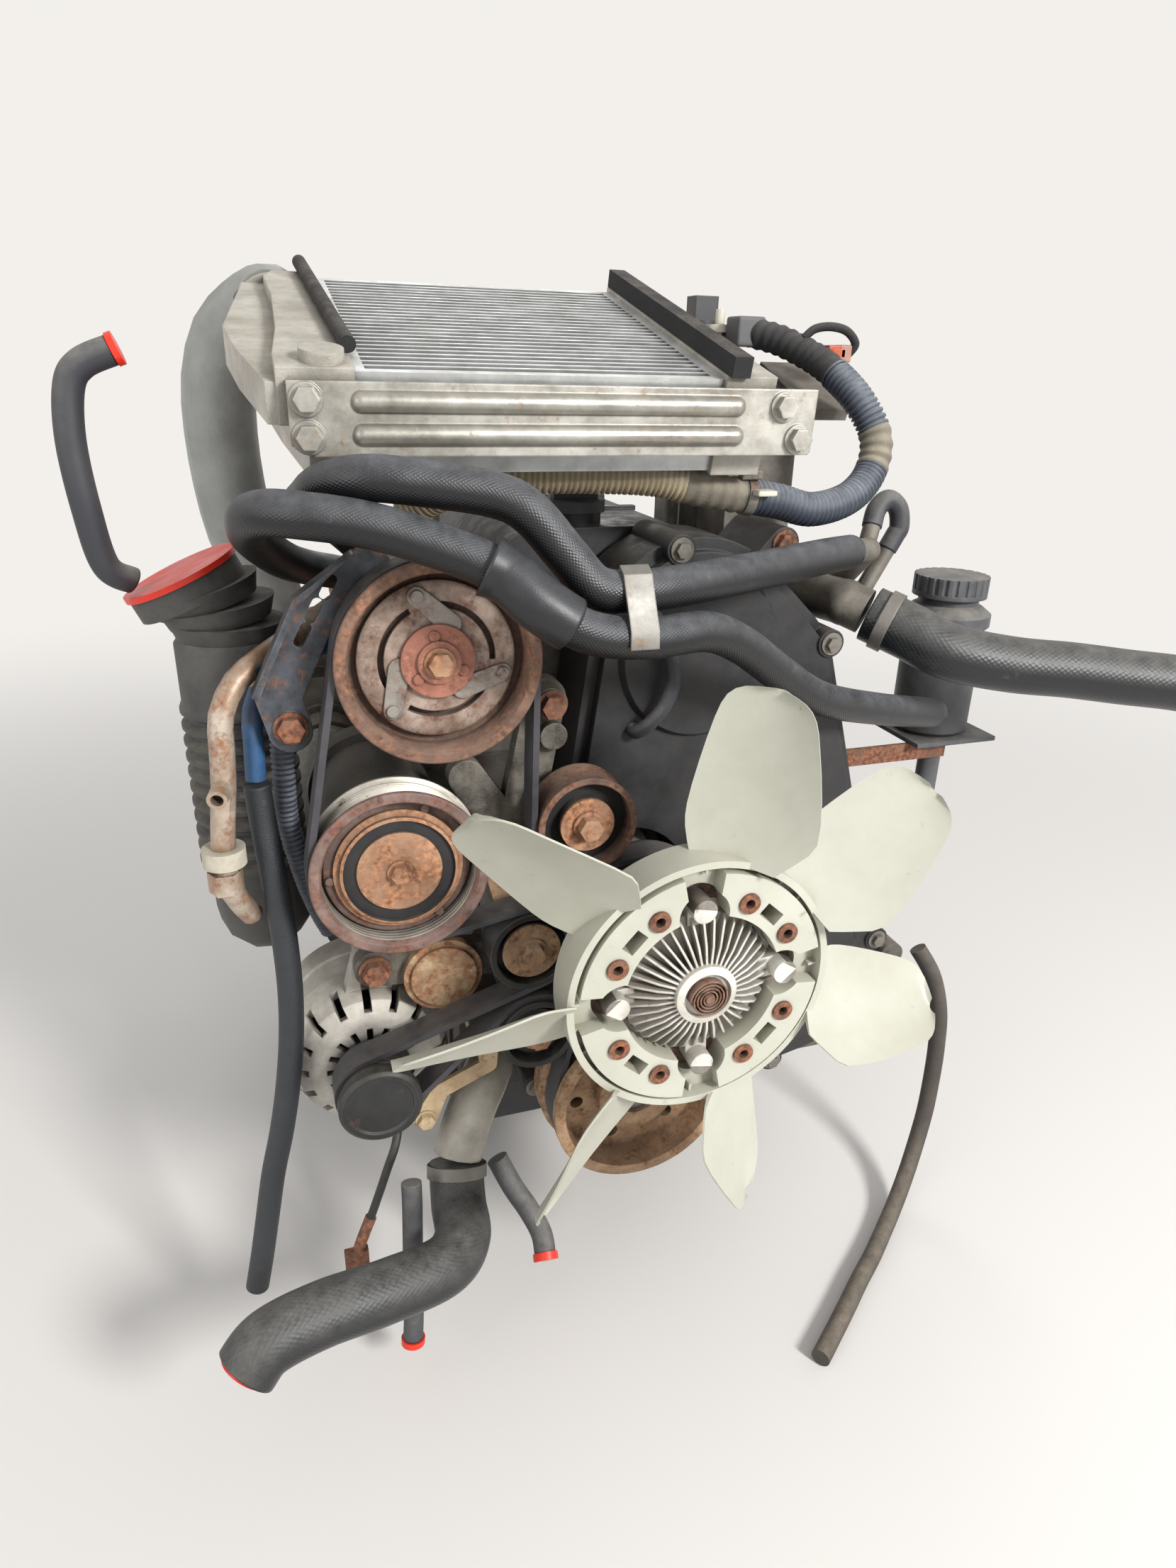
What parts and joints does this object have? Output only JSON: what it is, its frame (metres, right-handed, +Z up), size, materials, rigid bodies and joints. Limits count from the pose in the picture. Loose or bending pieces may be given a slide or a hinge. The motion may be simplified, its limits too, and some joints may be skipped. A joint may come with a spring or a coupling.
{
  "type": "diesel engine",
  "caption": "Turbocharged diesel engine with a bladed cooling fan, ribbed belt drive, two belt-driven compressors, alternator, top intercooler and hoses.",
  "frame": {"origin": "centre line of the crankshaft projected onto the flat floor of the oil sump, midway along the cylinder block", "axes": "+X to the side of the injection pump, -Y to the fan at the front, +Z up"},
  "size_m": [0.8347, 0.7784, 0.8416],
  "materials": {
    "block": "grimy dark iron, sand-cast",
    "sump": "black paint, dusty",
    "head": "cast, weathered",
    "black_cover": "moulded black, dusty",
    "timing_case": "dark cast cover, dusty",
    "steel": "machined, light rust",
    "rusty": "brown surface rust",
    "rusty_dark": "dark brown rust",
    "cast_aluminium": "cast, dull grey",
    "fan_white": "aged cream white nylon",
    "belt": "black ribbed rubber",
    "black_steel": "black, worn",
    "compressor": "dark grey paint",
    "bracket_steel": "zinc-plated, dull",
    "core": "bright fins",
    "seal_foam": "foam strip",
    "duct": "black moulded rubber and plastic",
    "charge": "grey moulded elbow, dusty",
    "hose": "black rubber, dusty sheen",
    "harness": "dusty corrugated conduit",
    "red": "bright red caps",
    "pipe": "bare aluminium, brown stains",
    "wrap": "black wrapped hose",
    "starter": "black paint",
    "slotted": "chipped dark paint over rust",
    "filter": "black"
  },
  "bodies": {
    "engine": {"engine_block": "block", "oil_sump": "sump", "cylinder_head": "head", "head_cover": "black_cover", "timing_cover": "timing_case", "rear_plate": "steel", "water_pump": "cast_aluminium", "drive_belt": "belt", "alternator": "cast_aluminium", "lower_compressor": "compressor", "upper_compressor": "compressor", "accessory_bracket": "cast_aluminium", "slotted_arm": "slotted", "intercooler_core": "core", "intercooler_tanks": "cast_aluminium", "intercooler_bracket": "bracket_steel", "seal_strips": "seal_foam", "charge_pipe": "charge", "turbocharger": "rusty_dark", "exhaust_manifold": "rusty", "air_duct": "duct", "intake_manifold": "head", "injection_pump": "cast_aluminium", "oil_filter": "filter", "starter_motor": "starter", "water_outlet": "cast_aluminium", "water_inlet": "cast_aluminium", "radiator_hose_upper": "hose", "radiator_hose_lower": "hose", "heater_hoses": "hose", "small_hoses": "hose", "hose_clamps": "bracket_steel", "red_plugs": "red", "refrigerant_pipes": "pipe", "wrapped_hose": "wrap", "side_hose": "wrap", "drain_hose": "wrap", "wiring_harness": "harness", "reservoir": "black_cover"},
    "crank": {"crankshaft": "steel", "crank_pulley": "rusty", "flywheel": "steel"},
    "camshaft": {"camshaft": "steel"},
    "pump_shaft": {"pump_pulley": "black_steel"},
    "fan": {"fan": "fan_white", "fan_bushes": "rusty", "fan_clutch": "cast_aluminium", "clutch_flange": "rusty", "thermal_coil": "rusty"},
    "alternator_rotor": {"alternator_pulley": "black_steel"},
    "upper_pulley": {"upper_clutch_pulley": "rusty_dark"},
    "upper_plate": {"upper_clutch_plate": "rusty_dark"},
    "lower_pulley": {"lower_clutch_pulley": "rusty"},
    "lower_plate": {"lower_clutch_plate": "rusty"},
    "upper_idler": {"upper_idler": "rusty_dark"},
    "lower_idler": {"lower_idler": "black_steel"},
    "tensioner_arm": {"tensioner_arm": "cast_aluminium"},
    "tensioner_pulley": {"tensioner_pulley": "black_steel"},
    "oil_filler_cap": {"oil_filler_cap": "black_cover"},
    "reservoir_cap": {"reservoir_cap": "black_cover"}
  },
  "joints": [
    {"name": "crank_spin", "type": "hinge", "parent": "engine", "child": "crank", "pos_m": [0, 0, 0.215], "axis": [0, 1, 0], "continuous": true},
    {"name": "camshaft_spin", "type": "hinge", "parent": "engine", "child": "camshaft", "pos_m": [0.04, 0, 0.584], "axis": [0, 1, 0], "continuous": true},
    {"name": "pump_spin", "type": "hinge", "parent": "engine", "child": "pump_shaft", "pos_m": [0, -0.35, 0.383], "axis": [0, 1, 0], "continuous": true},
    {"name": "fan_spin", "type": "hinge", "parent": "pump_shaft", "child": "fan", "pos_m": [0, -0.44, 0.383], "axis": [0, 1, 0], "continuous": true},
    {"name": "alternator_spin", "type": "hinge", "parent": "engine", "child": "alternator_rotor", "pos_m": [-0.21, -0.35, 0.268], "axis": [0, 1, 0], "continuous": true},
    {"name": "upper_pulley_spin", "type": "hinge", "parent": "engine", "child": "upper_pulley", "pos_m": [-0.153, -0.35, 0.594], "axis": [0, 1, 0], "continuous": true},
    {"name": "upper_plate_spin", "type": "hinge", "parent": "engine", "child": "upper_plate", "pos_m": [-0.153, -0.35, 0.594], "axis": [0, 1, 0], "continuous": true},
    {"name": "lower_pulley_spin", "type": "hinge", "parent": "engine", "child": "lower_pulley", "pos_m": [-0.185, -0.35, 0.45], "axis": [0, 1, 0], "continuous": true},
    {"name": "lower_plate_spin", "type": "hinge", "parent": "engine", "child": "lower_plate", "pos_m": [-0.185, -0.35, 0.45], "axis": [0, 1, 0], "continuous": true},
    {"name": "upper_idler_spin", "type": "hinge", "parent": "engine", "child": "upper_idler", "pos_m": [-0.052, -0.35, 0.469], "axis": [0, 1, 0], "continuous": true},
    {"name": "lower_idler_spin", "type": "hinge", "parent": "engine", "child": "lower_idler", "pos_m": [-0.088, -0.35, 0.297], "axis": [0, 1, 0], "continuous": true},
    {"name": "tensioner_swing", "type": "hinge", "parent": "engine", "child": "tensioner_arm", "pos_m": [-0.107, -0.33, 0.43], "axis": [0, 1, 0], "range_deg": [0, 8], "stiffness_Nm_per_rad": 20, "springref_deg": -5.73},
    {"name": "tensioner_pulley_spin", "type": "hinge", "parent": "tensioner_arm", "child": "tensioner_pulley", "pos_m": [-0.093, -0.35, 0.372], "axis": [0, 1, 0], "continuous": true},
    {"name": "filler_cap_turn", "type": "hinge", "parent": "engine", "child": "oil_filler_cap", "pos_m": [-0.015, -0.205, 0.664], "axis": [0, 0, 1], "range_deg": [0, 90]},
    {"name": "reservoir_cap_turn", "type": "hinge", "parent": "engine", "child": "reservoir_cap", "pos_m": [0.328, -0.235, 0.588], "axis": [0, 0, 1], "range_deg": [0, 90]}
  ],
  "couplings": [
    {"joint": "camshaft_spin", "follows": "crank_spin", "ratio": 0.5},
    {"joint": "pump_spin", "follows": "crank_spin", "ratio": 1.381},
    {"joint": "alternator_spin", "follows": "crank_spin", "ratio": 2.4576},
    {"joint": "upper_pulley_spin", "follows": "crank_spin", "ratio": 1.124},
    {"joint": "lower_pulley_spin", "follows": "crank_spin", "ratio": 1.2185},
    {"joint": "upper_idler_spin", "follows": "crank_spin", "ratio": -1.8831},
    {"joint": "lower_idler_spin", "follows": "crank_spin", "ratio": -2.3016},
    {"joint": "tensioner_pulley_spin", "follows": "crank_spin", "ratio": -2.1642}
  ]
}
